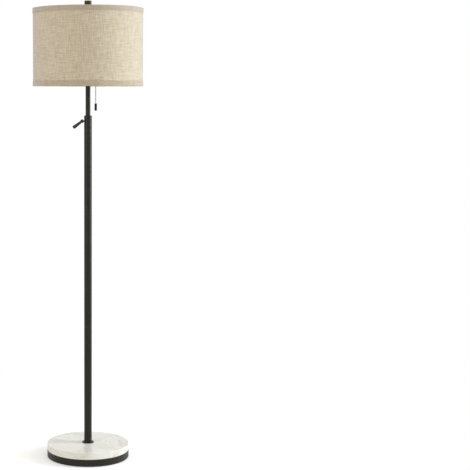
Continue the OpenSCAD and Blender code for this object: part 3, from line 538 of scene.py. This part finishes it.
# Plain weave on a point in metres: height of the threads, their tone, and the slubs
weave, start, end = effect("plain_weave", {"Point": None, "Pitch": 0.0011, "Slub": 1.0},
                           ["Height", "Tone", "Slub"])
flat = add(weave, "ShaderNodeSeparateXYZ", {0: start["Point"]}).outputs
wander = noise(weave, start["Point"], 55.0, 2.0)
wander = calc(weave, "MULTIPLY", calc(weave, "SUBTRACT", wander, 0.5), 2.2)


def strand_set(along, across, seed):
    """One set of threads: its height, its tone from thread to thread, and its slubs."""
    place = calc(weave, "ADD", calc(weave, "DIVIDE", across, start["Pitch"]), wander)
    number = calc(weave, "FLOOR", place)
    ridge = calc(weave, "ABSOLUTE", calc(weave, "SINE", calc(weave, "MULTIPLY", place, math.pi)))
    over = calc(weave, "ADD", calc(weave, "DIVIDE", along, start["Pitch"]), number)
    over = calc(weave, "MULTIPLY_ADD", calc(weave, "SINE", calc(weave, "MULTIPLY", over, math.pi)),
                0.5, 0.5)
    spot = add(weave, "ShaderNodeCombineXYZ", {
        0: calc(weave, "MULTIPLY", along, 22.0), 1: calc(weave, "MULTIPLY", number, 0.83),
        2: seed}).outputs[0]
    tone = noise(weave, spot, 1.0, 2.0, 0.6)
    long_spot = add(weave, "ShaderNodeCombineXYZ", {
        0: calc(weave, "MULTIPLY", along, 42.0), 1: calc(weave, "MULTIPLY", number, 1.7),
        2: seed + 5.0}).outputs[0]
    thick = spread(weave, noise(weave, long_spot, 1.0, 1.0, 0.5), 0.6, 0.72)
    return calc(weave, "MULTIPLY", ridge, over), tone, calc(weave, "MULTIPLY", thick, ridge)


warp_height, warp_tone, warp_slub = strand_set(flat[1], flat[0], 3.0)
weft_height, weft_tone, weft_slub = strand_set(flat[0], flat[1], 11.0)
top = calc(weave, "GREATER_THAN", warp_height, weft_height)
tone = add(weave, "ShaderNodeMix", {0: top, 2: weft_tone, 3: warp_tone}).outputs[0]
slub = calc(weave, "MULTIPLY", calc(weave, "MAXIMUM", warp_slub, weft_slub), start["Slub"])
give(weave, end, Height=calc(weave, "MULTIPLY_ADD", slub, 0.6,
                             calc(weave, "MAXIMUM", warp_height, weft_height)),
     Tone=tone, Slub=slub)


def drawn_out(tree, point, round_it, up):
    """Streaks along one set of threads, where the yarn comes thicker or darker."""
    spot = add(tree, "ShaderNodeMapping", {0: point, 3: (round_it, up, 1.0)}).outputs[0]
    return noise(tree, spot, 1.0, 3.0, 0.6)


def woven(name, pale, deep, slub_and_shade_colour, pitch, slub_share, depth=0.00028):
    """Linen cloth on the piece's own UV map, which is in metres, with painted shade between its
    threads.
    """
    material, tree, shader = new_finish(name, 0.68, Sheen_Weight=0.85, Sheen_Roughness=0.45,
                                        Specular_IOR_Level=0.5)
    point = add(tree, "ShaderNodeUVMap", uv_map="cloth").outputs[0]
    threads = add(tree, "ShaderNodeGroup", {"Point": point, "Pitch": pitch, "Slub": slub_share},
                  node_tree=weave).outputs
    bundles = calc(tree, "MULTIPLY_ADD", drawn_out(tree, point, 330.0, 26.0), 0.5,
                   calc(tree, "MULTIPLY", drawn_out(tree, point, 26.0, 330.0), 0.5))
    tone = calc(tree, "MULTIPLY_ADD", bundles, 0.6, calc(tree, "MULTIPLY", threads["Tone"], 0.4))
    cloth = between(tree, spread(tree, tone, 0.415, 0.575), deep, pale)
    # Painted shade: where the threads lie low, between them, the colour is darkened toward the slub
    # colour.
    hollow = spread(tree, threads["Height"], 0.0, 0.45, 0.45, 0.0)
    cloth = between(tree, hollow, cloth, slub_and_shade_colour)
    cloth = between(tree, calc(tree, "MULTIPLY", threads["Slub"], 0.55, clamp=True), cloth,
                    slub_and_shade_colour)
    surface(tree, shader, cloth, spread(tree, tone, 0.2, 0.8, 0.6, 0.75), threads["Height"], depth)
    return material


linen = woven("linen", (0.785, 0.678, 0.515), (0.55, 0.449, 0.313), (0.37, 0.28, 0.178), 0.0011, 1.0)

liner_white, tree, shader = new_finish("liner_white", 0.5)
point = own_point(tree)
grain = noise(tree, point, 800.0, 2.0)
weave_ghost = noise(tree, point, 120.0, 3.0, 0.6)
surface(tree, shader, between(tree, weave_ghost, (0.8, 0.785, 0.74), (0.86, 0.85, 0.81)),
        spread(tree, grain, 0.2, 0.8, 0.42, 0.58), grain, 0.00002)

slub_yarn, tree, shader = new_finish("slub_yarn", 0.9, Sheen_Weight=0.25)
point = own_point(tree)
twist = noise(tree, point, 1400.0, 3.0, 0.6)
surface(tree, shader, between(tree, twist, (0.36, 0.29, 0.2), (0.6, 0.51, 0.38)), None,
        twist, 0.00015)


def wrapped(tree, geometry, start):
    """Bends a flat layout round the drum: X runs round it, Y up it, and Z out of it."""
    parts = add(tree, "ShaderNodeSeparateXYZ", {
        0: tree.nodes.new("GeometryNodeInputPosition").outputs[0]}).outputs
    angle = calc(tree, "ADD", calc(tree, "DIVIDE", parts[0], start["Radius"]), start["Seam"])
    reach = calc(tree, "ADD", start["Radius"], parts[2])
    round_it = vector(tree, calc(tree, "MULTIPLY", reach, calc(tree, "COSINE", angle)),
                      calc(tree, "MULTIPLY", reach, calc(tree, "SINE", angle)),
                      calc(tree, "ADD", parts[1], start["Low"]))
    return add(tree, "GeometryNodeSetPosition", {0: geometry, "Position": round_it}).outputs[0]


drum_tree, start, end = shape_tree(
    "rolled_linen", Radius=DRUM_R, Low=DRUM_LOW, Tall=DRUM_TALL, Thickness=LINEN_T, Lap=LAP,
    Seam=SEAM_ANGLE, Cloth=linen)
girth = calc(drum_tree, "MULTIPLY", start["Radius"], math.tau)
length = calc(drum_tree, "ADD", girth, start["Lap"])
sheet = add(drum_tree, "GeometryNodeMeshGrid", {
    "Size X": length, "Size Y": start["Tall"], "Vertices X": 361, "Vertices Y": 13}).outputs[0]
corner = vector(drum_tree, calc(drum_tree, "MULTIPLY", length, 0.5),
                calc(drum_tree, "MULTIPLY", start["Tall"], 0.5))
sheet = add(drum_tree, "GeometryNodeSetPosition", {0: sheet, "Offset": corner}).outputs[0]
cloth_map = add(drum_tree, "GeometryNodeStoreNamedAttribute", {
    0: sheet, "Name": "cloth", 3: drum_tree.nodes.new("GeometryNodeInputPosition").outputs[0]},
    data_type="FLOAT2", domain="CORNER").outputs[0]
raised = add(drum_tree, "GeometryNodeExtrudeMesh", {
    0: cloth_map, "Offset": (0.0, 0.0, 1.0),
    "Offset Scale": start["Thickness"], "Individual": False}).outputs[0]
under = add(drum_tree, "GeometryNodeFlipFaces", {0: cloth_map}).outputs[0]
closed = drum_tree.nodes.new("GeometryNodeJoinGeometry")
for piece in (raised, under):
    drum_tree.links.new(piece, closed.inputs[0])
closed = add(drum_tree, "GeometryNodeMergeByDistance", {0: closed.outputs[0],
                                                        "Distance": 0.00001}).outputs[0]
flat = add(drum_tree, "ShaderNodeSeparateXYZ", {
    0: drum_tree.nodes.new("GeometryNodeInputPosition").outputs[0]}).outputs
late = calc(drum_tree, "SUBTRACT", flat[0], calc(drum_tree, "SUBTRACT", girth, 0.002))
lift = calc(drum_tree, "MULTIPLY", spread(drum_tree, late, 0.0, 0.003), start["Thickness"])
lapped = add(drum_tree, "GeometryNodeSetPosition", {
    0: closed, "Offset": vector(drum_tree, z=calc(drum_tree, "SUBTRACT", lift,
                                                  start["Thickness"]))}).outputs[0]
drum = wrapped(drum_tree, lapped, start)
drum = add(drum_tree, "GeometryNodeSetShadeSmooth", {0: drum}).outputs[0]
drum = add(drum_tree, "GeometryNodeSetMaterial", {0: drum, "Material": start["Cloth"]})
drum_tree.links.new(drum.outputs[0], end[0])
shade = grow("linen_drum", drum_tree)

slub_tree, start, end = shape_tree(
    "slub_threads", Radius=DRUM_R, Low=DRUM_LOW, Tall=DRUM_TALL, Seam=SEAM_ANGLE,
    Per_Square_Metre=3000.0, Half_Width=0.00032, Seed=7, Yarn=slub_yarn)
girth = calc(slub_tree, "MULTIPLY", start["Radius"], math.tau)
field = add(slub_tree, "GeometryNodeMeshGrid", {
    "Size X": calc(slub_tree, "SUBTRACT", girth, 0.04),
    "Size Y": calc(slub_tree, "SUBTRACT", start["Tall"], 0.05), "Vertices X": 2,
    "Vertices Y": 2}).outputs[0]
spots = add(slub_tree, "GeometryNodeDistributePointsOnFaces", {
    0: field, "Density": start["Per Square Metre"], "Seed": start["Seed"]}).outputs[0]
spindle = add(slub_tree, "GeometryNodeMeshUVSphere", {"Segments": 6, "Rings": 7,
                                                      "Radius": 1.0}).outputs[0]


def chance(low, high, extra):
    """A random number for each thread, from the fixed seed."""
    return add(slub_tree, "FunctionNodeRandomValue", {
        2: low, 3: high, "Seed": calc(slub_tree, "ADD", start["Seed"], extra)}).outputs[1]


upright = calc(slub_tree, "GREATER_THAN", chance(0.0, 1.0, 1), 0.5)
slant = calc(slub_tree, "MULTIPLY_ADD", upright, math.pi / 2, chance(-0.05, 0.05, 2))
turned = add(slub_tree, "FunctionNodeEulerToRotation", {0: vector(slub_tree, z=slant)}).outputs[0]
width = calc(slub_tree, "MULTIPLY", start["Half Width"], chance(0.6, 1.25, 3))
size = vector(slub_tree, calc(slub_tree, "POWER", chance(0.045, 0.115, 4), 2.0), width,
              calc(slub_tree, "MULTIPLY", width, 0.55))
threads = add(slub_tree, "GeometryNodeInstanceOnPoints", {
    "Points": spots, "Instance": spindle, "Rotation": turned, "Scale": size}).outputs[0]
threads = add(slub_tree, "GeometryNodeRealizeInstances", {0: threads}).outputs[0]
aside = vector(slub_tree, calc(slub_tree, "MULTIPLY", girth, 0.5),
               calc(slub_tree, "MULTIPLY", start["Tall"], 0.5))
threads = add(slub_tree, "GeometryNodeSetPosition", {0: threads, "Offset": aside}).outputs[0]
threads = wrapped(slub_tree, threads, start)
threads = add(slub_tree, "GeometryNodeSetShadeSmooth", {0: threads}).outputs[0]
threads = add(slub_tree, "GeometryNodeSetMaterial", {0: threads, "Material": start["Yarn"]})
slub_tree.links.new(threads.outputs[0], end[0])
slubs = grow("linen_slubs", slub_tree)


def turned_mesh(name, outline, count, step=None, level_play=None):
    """Turns a closed outline of (radius, height) round Z, with a UV map in metres.
    step(angle) moves the outline out, and level_play(angle, share) moves it up."""
    lengths = [0.0]
    for (r0, z0), (r1, z1) in zip(outline, outline[1:] + outline[:1]):
        lengths.append(lengths[-1] + math.hypot(r1 - r0, z1 - z0))
    mesh = bmesh.new()
    cloth = mesh.loops.layers.uv.new("cloth")
    rows = []
    for k in range(count):
        angle = math.tau * k / count
        out = step(angle) if step else 0.0
        row = []
        for r, z in outline:
            up = level_play(angle, z) if level_play else 0.0
            row.append(mesh.verts.new(((r + out) * math.cos(angle), (r + out) * math.sin(angle),
                                       z + up)))
        rows.append(row)
    mean_r = sum(r for r, z in outline) / len(outline)
    sides = len(outline)
    for k in range(count):
        for j in range(sides):
            here, there = rows[k], rows[(k + 1) % count]
            face = mesh.faces.new((here[j], there[j], there[(j + 1) % sides], here[(j + 1) % sides]))
            for loop, (a, b) in zip(face.loops, ((k, j), (k + 1, j), (k + 1, j + 1), (k, j + 1))):
                loop[cloth].uv = (math.tau * a / count * mean_r, lengths[b])
            face.smooth = True
    bmesh.ops.recalc_face_normals(mesh, faces=mesh.faces)
    data = bpy.data.meshes.new(name)
    mesh.to_mesh(data)
    mesh.free()
    made = bpy.data.objects.new(name, data)
    bpy.context.scene.collection.objects.link(made)
    return made


LINER_IN, LINER_OUT = 0.1754, DRUM_R - LINEN_T
liner_top = DRUM_LOW + DRUM_TALL
liner = turned_mesh("shade_liner", [(LINER_IN, DRUM_LOW), (LINER_OUT, DRUM_LOW),
                                    (LINER_OUT, liner_top), (LINER_IN, liner_top)], 240)
liner.data.materials.append(liner_white)
for face in liner.data.polygons:
    face.use_smooth = abs(face.normal.z) < 0.5


# Trim bands
# Strips of the same linen, cut a little darker, are folded over the wire rings and glued
# inside and out. Each strip's end laps over its start at the back.

BAND_R = 0.1777
BAND_T = 0.0006
BAND_TALL = 0.0155
BAND_FOLD = 0.0009
RING_R = 0.17375
RING_WIRE = 0.0016
TOP_RING_Z = 1.46825


def band_path(rim, side, ring_z):
    """The middle of the strip from its lower outer edge, over the rim and ring, to the liner.
    side is 1 for the top band and -1 for the bottom one."""
    path = [(BAND_R, rim - side * BAND_TALL * t) for t in (1.0, 0.985, 0.66, 0.33, 0.12)]
    for k in range(5):
        a = math.radians(90 * k / 4)
        path.append((BAND_R - BAND_FOLD + BAND_FOLD * math.cos(a),
                     rim - side * (BAND_T / 2 + BAND_FOLD) + side * BAND_FOLD * math.sin(a)))
    reach = RING_WIRE + BAND_T / 2 + 0.0001
    for k in range(9):
        a = math.radians(90 + 150 * k / 8)
        path.append((RING_R + reach * math.cos(a), ring_z + side * reach * math.sin(a)))
    path.append((0.17495, ring_z - side * 0.0046))
    path.append((0.17505, ring_z - side * 0.0085))
    return path


def thickened(path, thickness):
    """A closed outline round an open path."""
    left, right = [], []
    for k, (r, z) in enumerate(path):
        r0, z0 = path[max(k - 1, 0)]
        r1, z1 = path[min(k + 1, len(path) - 1)]
        size = math.hypot(r1 - r0, z1 - z0)
        nr, nz = (z1 - z0) / size * thickness / 2, -(r1 - r0) / size * thickness / 2
        left.append((r + nr, z + nz))
        right.append((r - nr, z - nz))
    return left + right[::-1]


def lap_step(angle):
    """The strip's end lies on its start for a centimetre at the back."""
    past = (angle - SEAM_ANGLE) * BAND_R
    return BAND_T * max(0.0, min(1.0, past / 0.0008, (0.011 - past) / 0.004))


def hand_cut(angle, z):
    """The strip's edge isn't quite level, as it is glued by hand."""
    return 0.00012 * math.sin(5 * angle + 40 * z) + 0.0001 * math.sin(11 * angle + 1.7)


trim = woven("linen_trim", (0.57, 0.485, 0.36), (0.45, 0.365, 0.255), (0.31, 0.24, 0.155), 0.0009, 0.5,
             0.0002)
bands = {}
for name, side, rim, ring_z in (
        ("top_trim", 1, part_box("top_trim")[1].z, TOP_RING_Z),
        ("bottom_trim", -1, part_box("bottom_trim")[0].z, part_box("bottom_ring")[0].z + RING_WIRE)):
    path = band_path(rim, side, ring_z)
    band = turned_mesh(name + "_band", thickened(path, BAND_T), 360, lap_step, hand_cut)
    band.data.materials.append(trim)
    width = sum(math.dist(a, b) for a, b in zip(path, path[1:]))
    bands[name] = (band, round(width, 4))

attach(shade, "head")
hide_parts("shade_drum")
for piece in (liner, slubs):
    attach(piece, "head")
for name, (band, width) in bands.items():
    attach(band, "head")
    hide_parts(name)


# Finial
# A plain turned knob of bronzed brass that screws on the harp's stud and holds the shade
# down. Fine turning marks run round it.

dress(bronzed("bronze_finial", (0.055, 0.036, 0.022), (0.04, 0.0275, 0.0175), (0.17, 0.11, 0.06),
              0.3, ends_of("finial", reach=0.0009), 40.0, 1800.0, 0.00003, 0.6), "finial")


# Bulb
# A lamp with a threaded metal cap, a white moulded body that holds its driver, and an
# opal plastic globe pressed into the body.

dress(plated("bulb_cap_metal", (0.78, 0.77, 0.74), (0.68, 0.67, 0.64), 0.26, SHELL_PITCH),
      "bulb_cap")
dress(grained("bulb_plastic", (0.8, 0.795, 0.77), (0.76, 0.755, 0.73), 0.42,
              grain=900.0, cloud=50.0, depth=0.00002), "bulb_body")

opal, tree, shader = new_finish("bulb_opal", 0.3, Coat_Weight=0.1)
point = own_point(tree)
haze = noise(tree, point, 40.0, 2.0)
surface(tree, shader, between(tree, haze, (0.9, 0.895, 0.87), (0.94, 0.935, 0.915)),
        spread(tree, haze, 0.2, 0.8, 0.26, 0.36), noise(tree, point, 1200.0, 2.0), 0.00001)
dress(opal, "bulb_globe")


# Studio
# A pale floor that keeps the lamp's shadow, white all round, a large soft lamp at the right
# and a weaker one at the left. The camera stands as the photograph's did, and its picture is
# shifted sideways, because the lamp stands level in the left third of the frame.

def seen_rays(tree):
    """1 for what the camera, gloss and glass see, 0 for plain light."""
    rays = add(tree, "ShaderNodeLightPath").outputs
    return calc(tree, "MAXIMUM", rays["Is Camera Ray"],
                calc(tree, "MAXIMUM", rays["Is Glossy Ray"], rays["Is Transmission Ray"]))


world = bpy.data.worlds.new("studio_white")
bpy.context.scene.world = world
world.use_nodes = True
tree = world.node_tree
tree.nodes.clear()
soft = add(tree, "ShaderNodeBackground", {"Color": (1.0, 0.975, 0.93, 1), "Strength": 0.61})
white = add(tree, "ShaderNodeBackground", {"Color": (1, 1, 1, 1), "Strength": 1.0})
mixed = add(tree, "ShaderNodeMixShader", {0: seen_rays(tree), 1: soft.outputs[0],
                                          2: white.outputs[0]})
add(tree, "ShaderNodeOutputWorld", {0: mixed.outputs[0]})

floor_mesh = bpy.data.meshes.new("studio_floor")
floor_mesh.from_pydata([(-60, -60, 0), (60, -60, 0), (60, 60, 0), (-60, 60, 0)], [], [(0, 1, 2, 3)])
floor = bpy.data.objects.new("studio_floor", floor_mesh)
bpy.context.scene.collection.objects.link(floor)
paper, tree, shader = new_finish("floor_paper", 1.0, Specular_IOR_Level=0.0,
                                 Base_Color=(0.84, 0.84, 0.83, 1),
                                 Emission_Color=(1, 1, 1, 1))
tree.links.new(calc(tree, "MULTIPLY", seen_rays(tree), 0.34), shader.inputs["Emission Strength"])
away = add(tree, "ShaderNodeVectorMath", {0: own_point(tree)}, operation="LENGTH").outputs[1]
far = calc(tree, "MULTIPLY", spread(tree, away, 0.35, 1.3), seen_rays(tree))
glow = add(tree, "ShaderNodeEmission", {"Color": (1, 1, 1, 1), "Strength": 1.0}).outputs[0]
mixed = add(tree, "ShaderNodeMixShader", {0: far, 1: shader.outputs[0], 2: glow})
surface_out = next(n for n in tree.nodes if n.type == "OUTPUT_MATERIAL")
tree.links.new(mixed.outputs[0], surface_out.inputs[0])
floor_mesh.materials.append(paper)


def soft_lamp(name, place, aim, size, power, colour):
    """A large rectangular lamp that faces a point."""
    light = bpy.data.lights.new(name, "AREA")
    light.shape = "RECTANGLE"
    light.size, light.size_y = size
    light.energy = power
    light.color = colour
    made = bpy.data.objects.new(name, light)
    bpy.context.scene.collection.objects.link(made)
    made.location = place
    made.rotation_euler = (Vector(aim) - Vector(place)).to_track_quat("-Z", "Y").to_euler()


soft_lamp("right_lamp", (2.4, -1.55, 1.5), (0, 0, 0.9), (1.1, 2.4), 78.0, (0.87, 0.945, 1.0))
soft_lamp("left_lamp", (-2.5, -0.7, 1.4), (0, 0, 0.9), (0.35, 2.2), 17.0, (1.0, 0.985, 0.96))

eye = (-2.01438, -3.58181, 1.20184)
camera = bpy.data.objects.new("camera", bpy.data.cameras.new("camera"))
bpy.context.scene.collection.objects.link(camera)
camera.data.sensor_width = 36.0
camera.data.lens = 96.959
camera.data.shift_x = 0.3128
camera.matrix_world = (Matrix.Translation(eye)
                       @ Matrix.Rotation(math.radians(-29.353), 4, "Z")
                       @ Matrix.Rotation(math.radians(90.0 - 6.4146), 4, "X"))
bpy.context.scene.camera = camera
bpy.context.scene.view_settings.view_transform = "Standard"
